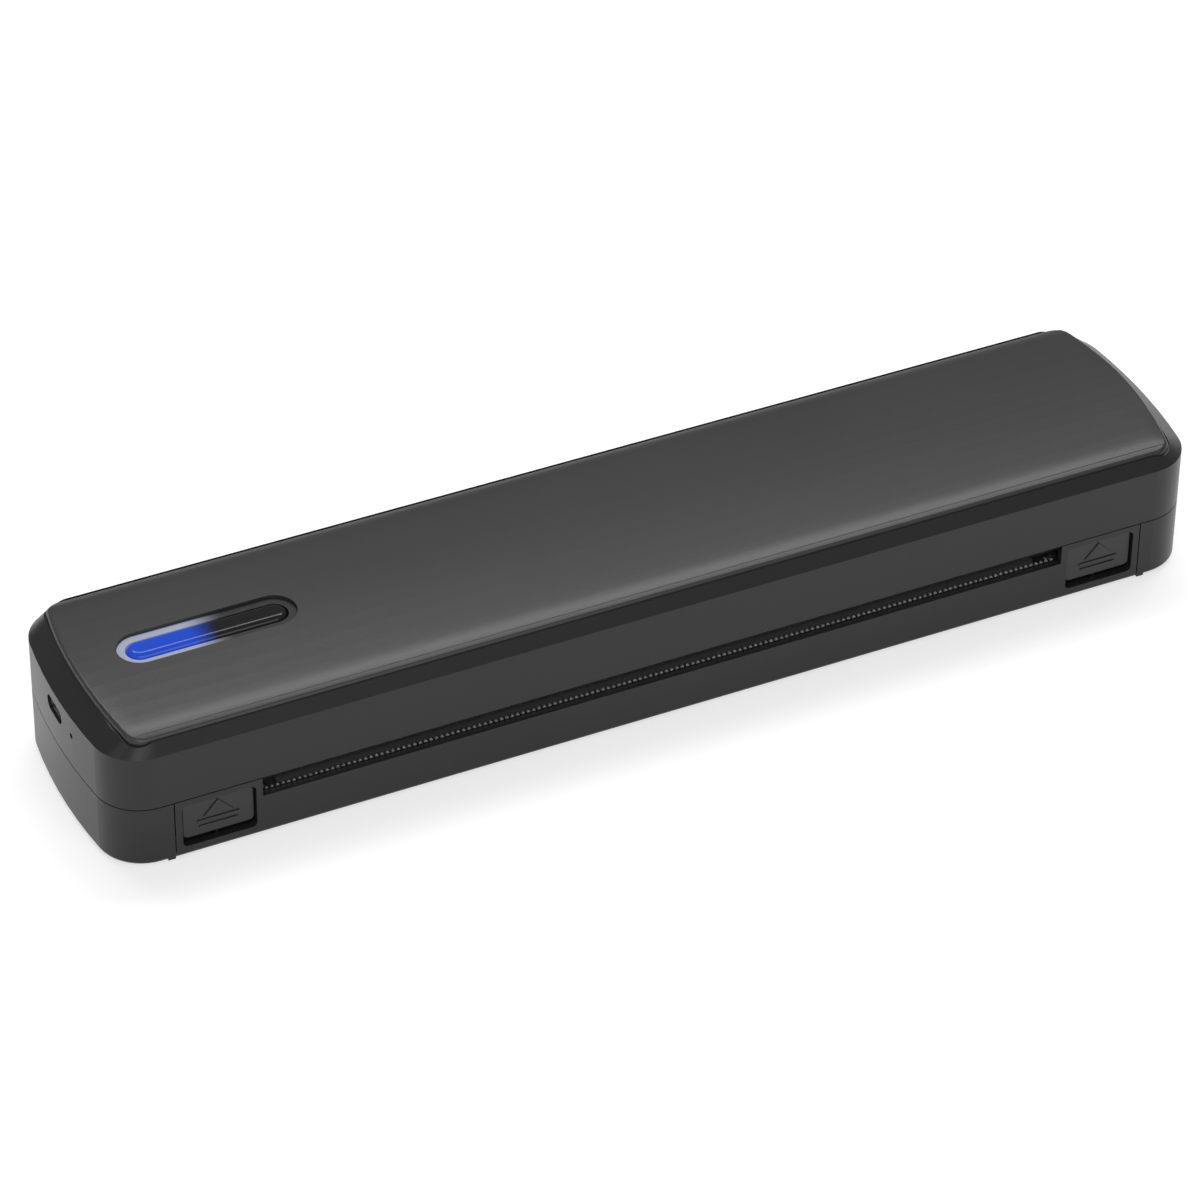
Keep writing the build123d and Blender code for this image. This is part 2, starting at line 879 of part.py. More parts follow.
# ---------------------------------------------------------------- mechanism frame
pivot_point = head_plane.from_local_coords((head_pivot_back, head_pivot_up, 0))
sweep_r = hinge_back + cheek_depth - 3.6
with BuildPart() as mechanism_frame:
    for side in both_sides:
        with BuildSketch(Plane.YZ.offset(side * frame_inner)):
            with BuildLine():
                Polyline(
                    (pivot_point.Y - 3, pivot_point.Z - 2.6),
                    (pivot_point.Y - 3, frame_top_z),
                    (frame_back_y, frame_top_z),
                    (frame_back_y, floor_top_z),
                    (front_y + 16, floor_top_z),
                    (front_y + 16, roller_z + 4),
                    (front_y + 13.4, roller_z + 9),
                    close=True,
                )
            make_face()
            with Locations((pivot_point.Y, pivot_point.Z)):
                Circle(head_pivot_r, mode=Mode.SUBTRACT)
        extrude(amount=side * frame_plate)
    # sloping beam behind the print head, that its springs push against
    with BuildSketch(head_plane):
        with Locations((spring_beam_back + spring_beam_thickness / 2, 0)):
            Rectangle(spring_beam_thickness, 9)
    extrude(amount=frame_inner, both=True)
    # stiffening flange along the top
    extrude(
        bar_outline(
            Plane.XY.offset(frame_top_z - frame_plate),
            (0, frame_back_y - 4),
            (2 * frame_inner, 8),
        ),
        amount=frame_plate,
    )
save(mechanism_frame.part, "mechanism_frame")

# ---------------------------------------------------------------- print head
with BuildPart() as head_sink:
    with BuildSketch(head_plane):
        with Locations((head_back - heat_sink_thickness / 2, (head_strip_low + head_pivot_up) / 2)):
            Rectangle(heat_sink_thickness, head_pivot_up - head_strip_low)
        with Locations((head_pivot_back, head_pivot_up)):
            Circle(head_pivot_r + 1.4)
    extrude(amount=heat_sink_length / 2, both=True)
    with BuildSketch(head_plane):
        with Locations((head_pivot_back, head_pivot_up)):
            Circle(head_pivot_r + running_gap)
    extrude(amount=heat_sink_length, both=True, mode=Mode.SUBTRACT)
save(head_sink.part, "print_head_heat_sink")

with BuildPart() as head_strip:
    with BuildSketch(head_plane):
        with BuildLine():
            low = head_strip_low
            high = head_strip_high
            front = head_gap + 0.1
            Line((front, low), (front, -0.8))
            ThreePointArc((front, -0.8), (head_gap, 0), (front, 0.8))
            Line((front, 0.8), (front, high))
            Line((front, high), (head_gap + head_strip_thickness, high))
            Line((head_gap + head_strip_thickness, high), (head_gap + head_strip_thickness, low))
            Line((head_gap + head_strip_thickness, low), (front, low))
        make_face()
    extrude(amount=roller_length / 2, both=True)
save(head_strip.part, "print_head_strip")

with BuildPart() as head_shaft:
    extrude(
        disc(Plane.YZ, (pivot_point.Y, pivot_point.Z), head_pivot_r),
        amount=frame_inner + frame_plate,
        both=True,
    )
save(head_shaft.part, "print_head_pivot_shaft")

with BuildPart() as head_springs:
    for index in range(head_spring_count):
        spring_x = (index - (head_spring_count - 1) / 2) * head_spring_pitch
        seat = Plane(
            origin=head_plane.from_local_coords((head_back + part_gap, 0, spring_x)),
            x_dir=(1, 0, 0),
            z_dir=head_plane.x_dir,
        )
        with BuildSketch(seat):
            Circle(head_spring_r)
            Circle(head_spring_r - head_spring_wire, mode=Mode.SUBTRACT)
        extrude(amount=spring_beam_back - head_back - part_gap)
save(head_springs.part, "print_head_springs")

# ---------------------------------------------------------------- paper guide and inner deck
with BuildPart() as paper_guide:
    guide_front = front_y + 16.6
    guide_back = half_depth - wall - part_gap
    with BuildSketch(Plane.YZ):
        with BuildLine():
            Polyline(
                (guide_front, floor_top_z),
                (guide_front + 2, guide_top_z),
                (guide_back, guide_top_z),
                (guide_back, guide_top_z - guide_thickness),
                (guide_front + 6, guide_top_z - guide_thickness),
                (guide_front + 6, floor_top_z),
                close=True,
            )
        make_face()
    extrude(amount=frame_inner - part_gap, both=True)
    with BuildSketch(Plane.XY.offset(floor_top_z)):
        with GridLocations(36, 1, 6, 1):
            with Locations((0, guide_back / 2)):
                Rectangle(wall, guide_back)
    extrude(amount=guide_rise)
save(paper_guide.part, "paper_guide")

with BuildPart() as inner_deck:
    deck_back = half_depth - wall - part_gap
    extrude(
        bar_outline(
            Plane.XY.offset(inner_deck_z),
            (0, (deck_back - 4) / 2),
            (2 * (frame_inner - part_gap), deck_back + 4),
        ),
        amount=inner_deck_thickness,
    )
    # legs beside the paper's path stand on the floor
    leg_x = frame_inner - part_gap - deck_leg / 2
    with BuildSketch(Plane.XY.offset(guide_top_z)):
        for side in both_sides:
            with Locations((side * leg_x, (frame_back_y + deck_back) / 2)):
                Rectangle(deck_leg, deck_back - frame_back_y)
    extrude(amount=inner_deck_z - guide_top_z)
    # cradle walls between which the cells lie
    with BuildSketch(Plane.XY.offset(inner_deck_z)):
        for wall_y in (cell_y - cell_r - 1.2, cell_y + cell_r + 1.2):
            with Locations((0, wall_y)):
                Rectangle(2 * cell_length + 3 * cell_gap, 1.6)
    extrude(amount=cell_r)
save(inner_deck.part, "inner_deck")

cell_z = inner_deck_z + inner_deck_thickness + cell_r + part_gap / 2
with BuildPart() as battery_cells:
    for side in both_sides:
        extrude(
            disc(Plane.YZ.offset(side * cell_gap / 2), (cell_y, cell_z), cell_r),
            amount=side * cell_length,
        )
    fillet(battery_cells.edges().filter_by(GeomType.CIRCLE), 0.8)
save(battery_cells.part, "battery_cells")

# ---------------------------------------------------------------- electronics
with BuildPart() as main_board:
    extrude(
        bar_outline(
            Plane.XY.offset(board_z), (board_x, 0), (board_length, board_width), 1.0
        ),
        amount=board_thickness,
    )
    with BuildSketch(Plane.XY.offset(board_z)):
        with Locations((board_x, 0)):
            with GridLocations(board_screw_x, board_screw_y, 2, 2):
                Circle(screw_r)
    extrude(amount=board_thickness, mode=Mode.SUBTRACT)
save(main_board.part, "main_board")

port_face_x = -(length / 2) + wall + part_gap
with BuildPart() as usb_port:
    shell = bar_outline(
        Plane.YZ.offset(port_face_x - wall + 0.4),
        (port_y, port_z),
        (port_width, port_height),
        port_height / 2 - 0.01,
    )
    extrude(shell, amount=port_depth)
    extrude(
        bar_outline(
            Plane.YZ.offset(port_face_x - wall + 0.4),
            (port_y, port_z),
            (port_width - 2 * port_skin, port_height - 2 * port_skin),
            port_height / 2 - port_skin - 0.01,
        ),
        amount=port_depth - 1.2,
        mode=Mode.SUBTRACT,
    )
    extrude(
        bar_outline(
            Plane.YZ.offset(port_face_x - wall + 1.4), (port_y, port_z), (6.6, 0.7)
        ),
        amount=port_depth - 1.4,
    )
save(usb_port.part, "charging_port")

with BuildPart() as power_switch:
    extrude(
        bar_outline(
            Plane.XY.offset(board_top_z), (pill_x, pill_y), (switch_size, switch_size), 0.6
        ),
        amount=switch_height,
    )
save(power_switch.part, "power_switch")

# ---------------------------------------------------------------- feet and case screws
with BuildPart() as rubber_feet:
    with BuildSketch():
        with GridLocations(length - 2 * foot_inset_x, depth - 2 * foot_inset_y, 2, 2):
            Circle(foot_r)
    extrude(amount=foot_height)
save(rubber_feet.part, "rubber_feet")

with BuildPart() as case_screws:
    head_z = bottom_z + 0.4
    with BuildSketch(Plane.XY.offset(head_z)):
        with GridLocations(length - 2 * screw_inset_x, depth - 2 * screw_inset_y, 2, 2):
            Circle(screw_head_r)
    extrude(amount=floor_top_z + screw_head_height - wall / 2 - head_z)
    with BuildSketch(Plane.XY.offset(head_z)):
        with GridLocations(length - 2 * screw_inset_x, depth - 2 * screw_inset_y, 2, 2):
            Circle(screw_r)
    extrude(amount=seam_z + case_screw_bite - head_z)
save(case_screws.part, "case_screws")

with BuildPart() as board_screws:
    with BuildSketch(Plane.XY.offset(board_z - screw_head_height)):
        with Locations((board_x, 0)):
            with GridLocations(board_screw_x, board_screw_y, 2, 2):
                Circle(screw_head_r)
    extrude(amount=screw_head_height)
    with BuildSketch(Plane.XY.offset(board_z)):
        with Locations((board_x, 0)):
            with GridLocations(board_screw_x, board_screw_y, 2, 2):
                Circle(screw_r)
    extrude(amount=board_thickness + board_screw_bite)
save(board_screws.part, "board_screws")

# ---------------------------------------------------------------- button springs, sensor, lamp, reset switch
for side, spring_name in ((-1, "left_button_spring"), (1, "right_button_spring")):
    spring_y = slide_y + tongue_thickness
    spring_foot_z = hinge_z - inner_lip_r + part_gap
    with BuildPart() as button_spring:
        with BuildSketch(Plane.XY.offset(spring_foot_z)):
            with Locations((side * button_x, spring_y)):
                Circle(button_spring_r)
                Circle(button_spring_r - button_spring_wire, mode=Mode.SUBTRACT)
        extrude(amount=button_low_z - spring_foot_z)
    save(button_spring.part, spring_name)

with BuildPart() as paper_sensor:
    extrude(
        bar_outline(Plane.XY.offset(inner_deck_z), (0, 0), (sensor_width, sensor_width), 0.4),
        amount=-sensor_height,
    )
save(paper_sensor.part, "paper_sensor")

with BuildPart() as status_lamp:
    extrude(
        bar_outline(
            Plane.XY.offset(board_top_z),
            (pill_x - pill_length / 4, pill_y),
            (lamp_length, lamp_width),
        ),
        amount=lamp_height,
    )
save(status_lamp.part, "status_lamp")

with BuildPart() as reset_switch:
    switch_x = board_x - board_length / 2
    extrude(
        bar_outline(
            Plane.XY.offset(board_top_z),
            (switch_x + reset_size / 2, pin_hole_y),
            (reset_size, reset_size),
            0.3,
        ),
        amount=reset_height,
    )
    extrude(
        disc(Plane.YZ.offset(switch_x - 1.0), (pin_hole_y, pin_hole_z), 0.7),
        amount=1.0,
    )
save(reset_switch.part, "reset_switch")
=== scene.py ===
import bmesh
import bpy
import math
from mathutils import Matrix, Vector


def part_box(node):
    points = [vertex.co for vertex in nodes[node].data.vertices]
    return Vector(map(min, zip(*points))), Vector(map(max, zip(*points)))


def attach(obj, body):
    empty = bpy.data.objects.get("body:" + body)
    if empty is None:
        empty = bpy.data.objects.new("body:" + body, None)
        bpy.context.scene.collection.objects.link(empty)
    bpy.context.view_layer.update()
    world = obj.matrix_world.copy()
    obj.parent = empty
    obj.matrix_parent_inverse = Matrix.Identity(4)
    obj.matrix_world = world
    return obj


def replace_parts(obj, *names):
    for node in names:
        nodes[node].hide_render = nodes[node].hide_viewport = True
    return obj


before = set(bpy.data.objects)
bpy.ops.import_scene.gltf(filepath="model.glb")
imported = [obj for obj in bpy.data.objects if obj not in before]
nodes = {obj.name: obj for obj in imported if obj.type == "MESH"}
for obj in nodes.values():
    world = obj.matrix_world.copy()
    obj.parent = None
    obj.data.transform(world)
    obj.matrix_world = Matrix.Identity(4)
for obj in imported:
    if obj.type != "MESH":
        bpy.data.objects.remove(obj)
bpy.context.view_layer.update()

MM = 0.001

# -------------------------------------------------------- places on the housing, in metres
button_front_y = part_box("left_release_button")[0].y
lens_top_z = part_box("power_button")[1].z


# -------------------------------------------------------- camera
# The view was fitted to the seams and corners that the photograph shows.
view_azimuth = math.radians(-25.763)
view_elevation = math.radians(38.176)
view_roll = math.radians(0.743)
view_distance = 1.4402
aim_left = 0.004485
aim_up = 0.010992
lens_mm = 165.0
sensor_mm = 36.0

camera_data = bpy.data.cameras.new("camera")
camera_data.lens = lens_mm
camera_data.sensor_width = sensor_mm
camera = bpy.data.objects.new("camera", camera_data)
bpy.context.scene.collection.objects.link(camera)
bpy.context.scene.camera = camera

flat = math.cos(view_elevation)
back = Vector(
    (math.sin(view_azimuth) * flat, -math.cos(view_azimuth) * flat, math.sin(view_elevation))
)
level_right = Vector((math.cos(view_azimuth), math.sin(view_azimuth), 0))
level_up = back.cross(level_right)
right = level_right * math.cos(view_roll) + level_up * math.sin(view_roll)
up = level_up * math.cos(view_roll) - level_right * math.sin(view_roll)
place = back * view_distance - right * aim_left + up * aim_up
camera.matrix_world = Matrix.Translation(place) @ Matrix((right, up, back)).transposed().to_4x4()


# -------------------------------------------------------- node graph helpers
class Graph:
    """A material's nodes, added one by one and joined by name."""

    def __init__(self, name):
        self.material = bpy.data.materials.new(name)
        self.material.use_nodes = True
        self.tree = self.material.node_tree
        self.shader = self.tree.nodes["Principled BSDF"]

    def add(self, kind, inputs=None, **settings):
        node = self.tree.nodes.new(kind)
        for key, value in settings.items():
            setattr(node, key, value)
        for key, value in (inputs or {}).items():
            self.feed(node, key, value)
        return node

    def feed(self, node, key, value):
        if isinstance(value, bpy.types.NodeSocket):
            self.tree.links.new(value, node.inputs[key])
        else:
            node.inputs[key].default_value = value

    def set(self, **values):
        for key, value in values.items():
            self.feed(self.shader, key.replace("_", " "), value)

    def place(self):
        return self.add("ShaderNodeTexCoord").outputs["Object"]

    def noise(self, scale, detail=3.0, rough=0.5, stretch=(1, 1, 1)):
        moved = self.add(
            "ShaderNodeMapping",
            {"Vector": self.place(), "Scale": stretch},
        ).outputs["Vector"]
        node = self.add(
            "ShaderNodeTexNoise",
            {"Vector": moved, "Scale": scale, "Detail": detail, "Roughness": rough},
        )
        return node.outputs["Fac"]

    def ramp(self, factor, low, high):
        """factor runs 0..1, the answer from low to high."""
        node = self.add(
            "ShaderNodeMapRange",
            {"Value": factor, "To Min": low, "To Max": high},
        )
        return node.outputs["Result"]

    def between(self, value, start, end, low, high):
        node = self.add(
            "ShaderNodeMapRange",
            {"Value": value, "From Min": start, "From Max": end, "To Min": low, "To Max": high},
            interpolation_type="SMOOTHSTEP",
        )
        return node.outputs["Result"]

    def tint(self, factor, dark, light):
        node = self.add("ShaderNodeMix", data_type="RGBA")
        self.feed(node, "Factor", factor)
        node.inputs[6].default_value = (*dark, 1)
        node.inputs[7].default_value = (*light, 1)
        return node.outputs[2]

    def bump(self, height, distance, strength=1.0, under=None):
        node = self.add(
            "ShaderNodeBump",
            {"Height": height, "Distance": distance, "Strength": strength},
        )
        if under is not None:
            self.feed(node, "Normal", under)
        return node.outputs["Normal"]


CLOUD_SCALE = 22.0
GRAIN_GLOSS = 0.05
MARK_SCALE = 420.0
MARK_GLOSS = (-0.08, 0.1)


def plastic(name, dark, light, rough, grain, depth, specular=0.5):
    """Moulded plastic: fine spark-eroded grain, slight cloudiness in colour and gloss."""
    g = Graph(name)
    cloud = g.noise(CLOUD_SCALE, detail=2.0)
    fine = g.noise(grain, detail=2.0)
    g.set(
        Base_Color=g.tint(cloud, dark, light),
        Roughness=g.ramp(fine, rough - GRAIN_GLOSS, rough + GRAIN_GLOSS),
        Normal=g.bump(fine, depth),
    )
    g.shader.inputs["Specular IOR Level"].default_value = specular
    return g


def metal(name, dark, light, rough, stretch, depth=0.00002):
    """Drawn, ground or plated metal with its marks along one direction."""
    g = Graph(name)
    marks = g.noise(MARK_SCALE, detail=4.0, rough=0.65, stretch=stretch)
    cloud = g.noise(60.0)
    g.set(
        Base_Color=g.tint(cloud, dark, light),
        Roughness=g.ramp(marks, rough + MARK_GLOSS[0], rough + MARK_GLOSS[1]),
        Normal=g.bump(marks, depth, 0.4),
    )
    g.shader.inputs["Metallic"].default_value = 1.0
    return g


def dress(graph, *names):
    for name in names:
        slots = nodes[name].data.materials
        slots.clear()
        slots.append(graph.material)


# -------------------------------------------------------- materials of the CAD nodes
case = plastic(
    "case_black", (0.014, 0.014, 0.015), (0.018, 0.018, 0.019), 0.34, 2600.0, 0.000012, 0.36
)
dress(case, "upper_case", "lower_case", "front_flap")

panel = plastic(
    "panel_satin", (0.024, 0.024, 0.025), (0.03, 0.03, 0.031), 0.38, 3400.0, 0.00002
)
dress(panel, "top_panel")

button = plastic(
    "button_black", (0.014, 0.014, 0.015), (0.018, 0.018, 0.019), 0.36, 2600.0, 0.00001
)
dress(button, "left_release_button", "right_release_button")

steel = metal("steel", (0.55, 0.55, 0.56), (0.66, 0.66, 0.67), 0.28, (1, 8, 8))
dress(
    steel,
    "flap_hinge_pins",
    "platen_shaft",
    "idler_post",
    "print_head_pivot_shaft",
)
frame_steel = metal("frame_steel", (0.52, 0.53, 0.55), (0.62, 0.63, 0.65), 0.36, (1, 1, 1))
dress(frame_steel, "mechanism_frame", "motor_bracket")
motor_steel = metal("motor_steel", (0.5, 0.5, 0.51), (0.58, 0.58, 0.59), 0.3, (8, 1, 1))
dress(motor_steel, "stepper_motor")
aluminium = metal(
    "head_aluminium", (0.68, 0.68, 0.69), (0.76, 0.76, 0.77), 0.32, (1, 12, 12)
)
dress(aluminium, "print_head_heat_sink")
brass = metal("brass_pinion", (0.66, 0.48, 0.22), (0.76, 0.58, 0.3), 0.3, (8, 1, 1))
dress(brass, "motor_pinion")
screw_metal = metal("screw_black", (0.05, 0.05, 0.052), (0.09, 0.09, 0.092), 0.4, (1, 1, 1))
dress(
    screw_metal,
    "case_screws",
    "board_screws",
    "print_head_springs",
    "left_button_spring",
    "right_button_spring",
)

gear_black = plastic(
    "gear_plastic", (0.022, 0.022, 0.023), (0.03, 0.03, 0.031), 0.42, 900.0, 0.00002
)
dress(gear_black, "platen_bushings", "platen_gear", "idler_gear")
rubber = plastic(
    "roller_rubber", (0.03, 0.03, 0.03), (0.04, 0.04, 0.04), 0.7, 1400.0, 0.00003, 0.3
)
dress(rubber, "platen_rubber")
foot_rubber = plastic(
    "foot_rubber", (0.03, 0.03, 0.03), (0.045, 0.045, 0.045), 0.75, 700.0, 0.00004, 0.3
)
dress(foot_rubber, "rubber_feet")
inner = plastic(
    "inner_plastic", (0.025, 0.025, 0.026), (0.032, 0.032, 0.033), 0.5, 1200.0, 0.00003
)
dress(inner, "paper_guide", "inner_deck")
ceramic = plastic("ceramic", (0.7, 0.69, 0.65), (0.76, 0.75, 0.71), 0.2, 500.0, 0.000005)
dress(ceramic, "print_head_strip")
wrap = plastic("cell_wrap", (0.02, 0.1, 0.26), (0.03, 0.12, 0.3), 0.25, 300.0, 0.00001)
dress(wrap, "battery_cells")
board = plastic(
    "board_green", (0.01, 0.09, 0.035), (0.014, 0.12, 0.05), 0.3, 240.0, 0.00002
)
dress(board, "main_board")
switch = plastic(
    "switch_black", (0.02, 0.02, 0.02), (0.028, 0.028, 0.028), 0.45, 900.0, 0.00002
)
dress(switch, "power_switch", "reset_switch", "paper_sensor")
port_steel = metal("port_steel", (0.5, 0.5, 0.51), (0.62, 0.62, 0.63), 0.24, (8, 1, 1))
dress(port_steel, "charging_port")

# The tear bar is dark over its body and bright at its tooth tips; the bright tips are a painted
# highlight.
tear = Graph("tear_steel")
tear_height = tear.add("ShaderNodeSeparateXYZ", {"Vector": tear.place()}).outputs["Z"]
tear_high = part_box("tear_bar")[1]
tip_start, tip_full = 0.75 * MM, 0.35 * MM
# mask of the painted highlight: it rises to full brightness at the tooth tips
painted_tip_highlight = tear.between(
    tear_height, tear_high.z - tip_start, tear_high.z - tip_full, 0.0, 1.0
)
tear.set(
    Base_Color=tear.tint(painted_tip_highlight, (0.035, 0.035, 0.036), (0.95, 0.95, 0.95)),
    Roughness=tear.ramp(tear.noise(900.0), 0.4, 0.55),
)
tear.shader.inputs["Metallic"].default_value = 1.0
dress(tear, "tear_bar")

lamp = Graph("lamp")
lamp.set(
    Base_Color=lamp.tint(lamp.noise(300.0), (0.1, 0.25, 0.9), (0.2, 0.4, 1.0)),
    Emission_Color=(0.1, 0.35, 1.0, 1),
    Emission_Strength=1.0,
)
dress(lamp, "status_lamp")

# The power button is a dark light pipe: blue light fills its left part and fades along it.
glow_full_x = -119.0 * MM
glow_end_x = -110.7 * MM
lens = Graph("power_lens")
lens_place = lens.add("ShaderNodeSeparateXYZ", {"Vector": lens.place()})
along = lens_place.outputs["X"]
lit = lens.between(along, glow_full_x, glow_end_x, 1.0, 0.0)
lens.set(
    Base_Color=lens.tint(lit, (0.012, 0.012, 0.013), (0.008, 0.03, 0.22)),
    Roughness=lens.ramp(lens.noise(500.0), 0.1, 0.16),
    Emission_Color=lens.tint(lit, (0.0, 0.0, 0.0), (0.01, 0.05, 0.42)),
    Emission_Strength=0.8,
    Specular_IOR_Level=0.25,
)
dress(lens, "power_button")

# The ring round it is a grey light guide that takes the glow at its left end.
ring_full_x, ring_end_x = -119.0 * MM, -107.0 * MM
ring = Graph("light_ring")
ring_along = ring.add("ShaderNodeSeparateXYZ", {"Vector": ring.place()}).outputs["X"]
ring_lit = ring.between(ring_along, ring_full_x, ring_end_x, 1.0, 0.0)
ring.set(
    Base_Color=ring.tint(ring_lit, (0.02, 0.02, 0.021), (0.24, 0.25, 0.3)),
    Roughness=ring.ramp(ring.noise(700.0), 0.26, 0.36),
    Emission_Color=ring.tint(ring_lit, (0.0, 0.0, 0.0), (0.22, 0.25, 0.36)),
    Emission_Strength=0.5,
)
dress(ring, "power_light_ring")


# -------------------------------------------------------- mesh helpers
def mesh_object(name, mesh, graph, body):
    piece = bpy.data.objects.new(name, mesh)
    bpy.context.scene.collection.objects.link(piece)
    piece.data.materials.append(graph.material)
    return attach(piece, body)


def raised_outline(name, points, outward, height, round_off, graph, body):
    """A flat closed outline on a plane, raised along outward, with softened edges."""
    shape = bmesh.new()
    face = shape.faces.new([shape.verts.new(p) for p in points])
    face.normal_update()
    if face.normal.dot(outward) < 0:
        face.normal_flip()
    grown = bmesh.ops.extrude_face_region(shape, geom=[face])
    moved = [v for v in grown["geom"] if isinstance(v, bmesh.types.BMVert)]
    bmesh.ops.translate(shape, verts=moved, vec=outward * height)
    bmesh.ops.recalc_face_normals(shape, faces=shape.faces)
    mesh = bpy.data.meshes.new(name)
    shape.to_mesh(mesh)
    shape.free()
    piece = mesh_object(name, mesh, graph, body)
    soften = piece.modifiers.new("soften", "BEVEL")
    soften.width = round_off
    soften.segments = 3
    soften.limit_method = "ANGLE"
    for polygon in piece.data.polygons:
        polygon.use_smooth = True
    return piece


# -------------------------------------------------------- rolled long edges of the top panel
# The panel is nearly flat across its middle and rolls over along its two long edges,
# and its outline leaves a dark groove to the case round it.
crown_top = 40.6 * MM
crown_r = 193.45 * MM
middle_r = 400.0 * MM
roll_start = 24.0 * MM
roll_y, roll_z, roll_r = 22.85 * MM, 20.67 * MM, 19.24 * MM
panel_half = 31.0 * MM
skin_depth = (1.2 * MM, 1.35 * MM)
end_fade = 7.0 * MM
outline_inset = 0.2 * MM
long_edge_band = 28.5 * MM
end_band = 6.5 * MM
middle_cuts = range(-28, 29, 2)
edge_cuts = (25, 27, 29, 29.7)
end_cuts = (1.5, 3.0, 4.5, 6.0, 7.0)
crease_angle = math.radians(28)
panel_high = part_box("top_panel")[1]


def arc(y, centre_y, centre_z, radius):
    return centre_z + math.sqrt(max(radius**2 - (y - centre_y) ** 2, 0.0))


def part_way(value, start, end):
    return min(max((value - start) / (end - start), 0.0), 1.0)


def raised(x, y, z):
    """How far a point of the panel's upper skin goes up from the plain crown."""
    across = min(abs(y), panel_half)
    crown = arc(across, 0, crown_top - crown_r, crown_r)
    if across < roll_start:
        wanted = arc(across, 0, crown_top - middle_r, middle_r)
    else:
        wanted = arc(across, roll_y, roll_z, roll_r)
    skin = 1.0 - part_way(crown - z, *skin_depth)
    ends = part_way(panel_high.x - abs(x), 0.0, end_fade)
    return max(wanted - crown, 0.0) * skin * ends * (2.0 - ends)


shape = bmesh.new()
shape.from_mesh(nodes["top_panel"].data)
shape.transform(nodes["top_panel"].matrix_world)
along_x, along_y = Vector((1, 0, 0)), Vector((0, 1, 0))
cuts = [(along_y * y * MM, along_y) for y in middle_cuts]
cuts += [(along_y * side * y * MM, along_y) for side in (-1, 1) for y in edge_cuts]
cuts += [
    (along_x * side * (panel_high.x - step * MM), along_x)
    for side in (-1, 1)
    for step in end_cuts
]
for point, normal in cuts:
    everything = shape.verts[:] + shape.edges[:] + shape.faces[:]
    bmesh.ops.bisect_plane(shape, geom=everything, dist=1e-7, plane_co=point, plane_no=normal)
for vertex in shape.verts:
    x, y, z = vertex.co
    vertex.co.z += raised(x, y, z)
    if abs(y) > long_edge_band:
        vertex.co.y -= math.copysign(outline_inset, y)
    if panel_high.x - abs(x) < end_band:
        vertex.co.x -= math.copysign(outline_inset, x)
shape.verts.index_update()
skin_mesh = bpy.data.meshes.new("top_panel_rolled")
skin_mesh.from_pydata(
    [v.co[:] for v in shape.verts], [], [[v.index for v in f.verts] for f in shape.faces]
)
shape.free()
for polygon in skin_mesh.polygons:
    polygon.use_smooth = True
skin_mesh.set_sharp_from_angle(angle=crease_angle)
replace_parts(mesh_object("top_panel_rolled", skin_mesh, panel, "housing"), "top_panel")


# -------------------------------------------------------- eject marks on the release buttons
mark_height = 0.35 * MM
mark_round = 0.12 * MM
triangle_apex = (0.0, 15.3)
triangle_base = (4.0, 10.9)
bars = ((5.7, 9.95, 9.05), (5.2, 8.2, 7.55))
mark_sunk = 0.05 * MM
window_middle_x = 125.25 * MM


def mark(name, centre_x, outline, body):
    points = [
        Vector((centre_x + x * MM, button_front_y + mark_sunk, z * MM)) for x, z in outline
    ]
    return raised_outline(
        name, points, Vector((0, -1, 0)), mark_height, mark_round, button, body
    )


for side, body in (("left", "left_button"), ("right", "right_button")):
    button_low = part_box(side + "_release_button")[0]
    window_x = math.copysign(window_middle_x, button_low.x)
    mark(
        side + "_eject_triangle",
        window_x,
        [
            (-triangle_base[0], triangle_base[1]),
            (triangle_base[0], triangle_base[1]),
            triangle_apex,
        ],
        body,
    )
    for index, (half, top, foot) in enumerate(bars):
        mark(
            f"{side}_eject_bar_{index + 1}",
            window_x,
            [(-half, foot), (half, foot), (half, top), (-half, top)],
            body,
        )

# -------------------------------------------------------- painted highlight along the button's crown, a glowing line tinted by the button's blue light
# This emissive line is a painted highlight along the lit part of the button's crown; its blue
# comes from the button's own light.
crown_highlight_glow = Graph("painted_crown_highlight")
crown_highlight_glow.set(
    Base_Color=crown_highlight_glow.tint(crown_highlight_glow.noise(200.0), (0.2, 0.6, 1.0), (0.3, 0.7, 1.0)),
    Emission_Color=(0.16, 0.55, 1.0, 1),
    Emission_Strength=1.1,
)
line_start, line_end = Vector((-131.2, 3.8, 0)) * MM, Vector((-116.0, 3.0, 0)) * MM
line_below_top = 0.75 * MM
line_radius = 0.45 * MM
curve = bpy.data.curves.new("power_button_painted_highlight", "CURVE")
curve.dimensions = "3D"
curve.bevel_depth = line_radius
curve.bevel_resolution = 3
curve.use_fill_caps = True
spline = curve.splines.new("POLY")
spline.points.add(1)
line_z = lens_top_z - line_below_top
for point, at in zip(spline.points, (line_start, line_end)):
    point.co = (at.x, at.y, line_z, 1)
painted_highlight_line = bpy.data.objects.new("power_button_painted_highlight", curve)
bpy.context.scene.collection.objects.link(painted_highlight_line)
curve.materials.append(crown_highlight_glow.material)
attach(painted_highlight_line, "power")

# -------------------------------------------------------- floor, world and lamps
floor_reach = 6.0
floor_drop = 0.0002
floor_grey = 0.55
floor_glow = 0.58
world_grey = 0.5
world_strength = 0.5
floor_mesh = bpy.data.meshes.new("floor")
shape = bmesh.new()
bmesh.ops.create_grid(shape, x_segments=1, y_segments=1, size=floor_reach)
shape.to_mesh(floor_mesh)
shape.free()
floor = bpy.data.objects.new("floor", floor_mesh)
floor.location.z = -floor_drop
bpy.context.scene.collection.objects.link(floor)

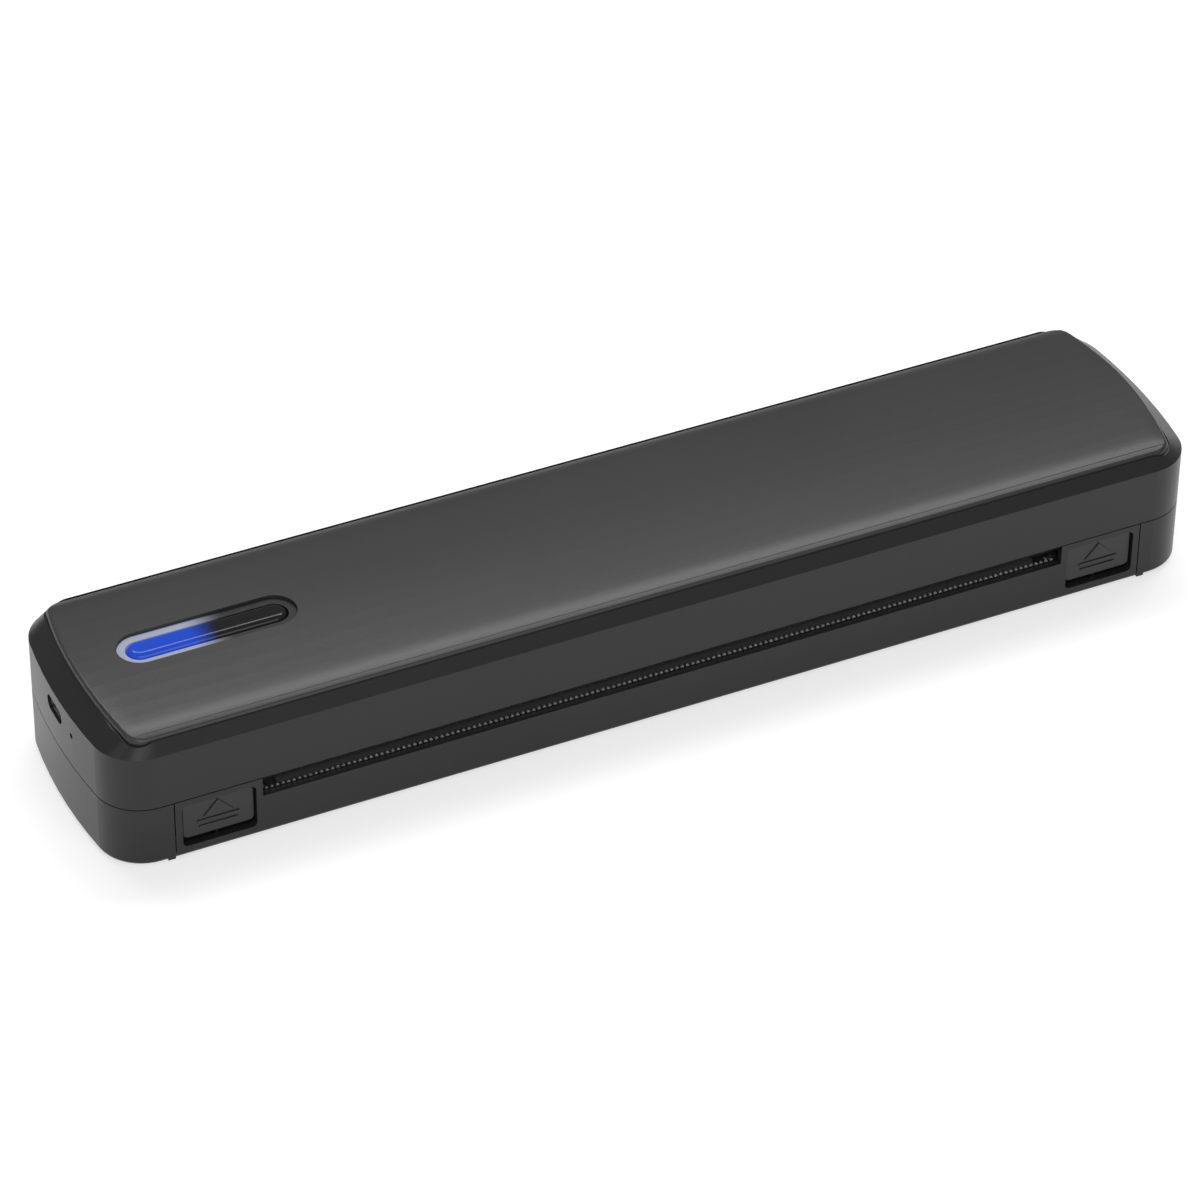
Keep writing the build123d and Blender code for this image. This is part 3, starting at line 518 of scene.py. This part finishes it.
floor_paint = bpy.data.materials.new("floor_white")
floor_paint.use_nodes = True
tree = floor_paint.node_tree
tree.nodes.clear()
output = tree.nodes.new("ShaderNodeOutputMaterial")
diffuse = tree.nodes.new("ShaderNodeBsdfDiffuse")
diffuse.inputs["Color"].default_value = (floor_grey, floor_grey, floor_grey, 1)
glow = tree.nodes.new("ShaderNodeEmission")
glow.inputs["Color"].default_value = (floor_glow, floor_glow, floor_glow, 1)
rays = tree.nodes.new("ShaderNodeLightPath")
seen = rays.outputs["Is Camera Ray"]
for other in ("Is Glossy Ray", "Is Transmission Ray"):
    either = tree.nodes.new("ShaderNodeMath")
    either.operation = "ADD"
    either.use_clamp = True
    tree.links.new(seen, either.inputs[0])
    tree.links.new(rays.outputs[other], either.inputs[1])
    seen = either.outputs[0]
tree.links.new(seen, glow.inputs["Strength"])
both = tree.nodes.new("ShaderNodeAddShader")
tree.links.new(diffuse.outputs[0], both.inputs[0])
tree.links.new(glow.outputs[0], both.inputs[1])
tree.links.new(both.outputs[0], output.inputs["Surface"])
floor.data.materials.append(floor_paint)

world = bpy.data.worlds.new("studio")
bpy.context.scene.world = world
world.use_nodes = True
backdrop = world.node_tree.nodes["Background"]
backdrop.inputs["Color"].default_value = (world_grey, world_grey, world_grey, 1)
backdrop.inputs["Strength"].default_value = world_strength


def softbox(name, location, target, width, height, watts):
    data = bpy.data.lights.new(name, "AREA")
    data.shape = "RECTANGLE"
    data.size = width
    data.size_y = height
    data.energy = watts
    lamp_object = bpy.data.objects.new(name, data)
    lamp_object.location = location
    aim = Vector(target) - Vector(location)
    lamp_object.rotation_euler = aim.to_track_quat("-Z", "Y").to_euler()
    bpy.context.scene.collection.objects.link(lamp_object)


softbox("overhead", (0.3, 0.72, 1.6), (0, 0, 0), 2.2, 0.5, 24.0)
softbox("front_fill", (-0.3, -1.3, 1.1), (0, 0, 0), 1.6, 0.8, 12.0)
softbox("left_side", (-1.4, -0.2, 0.6), (0, 0, 0), 0.5, 0.9, 2.0)

bpy.context.scene.view_settings.view_transform = "Standard"
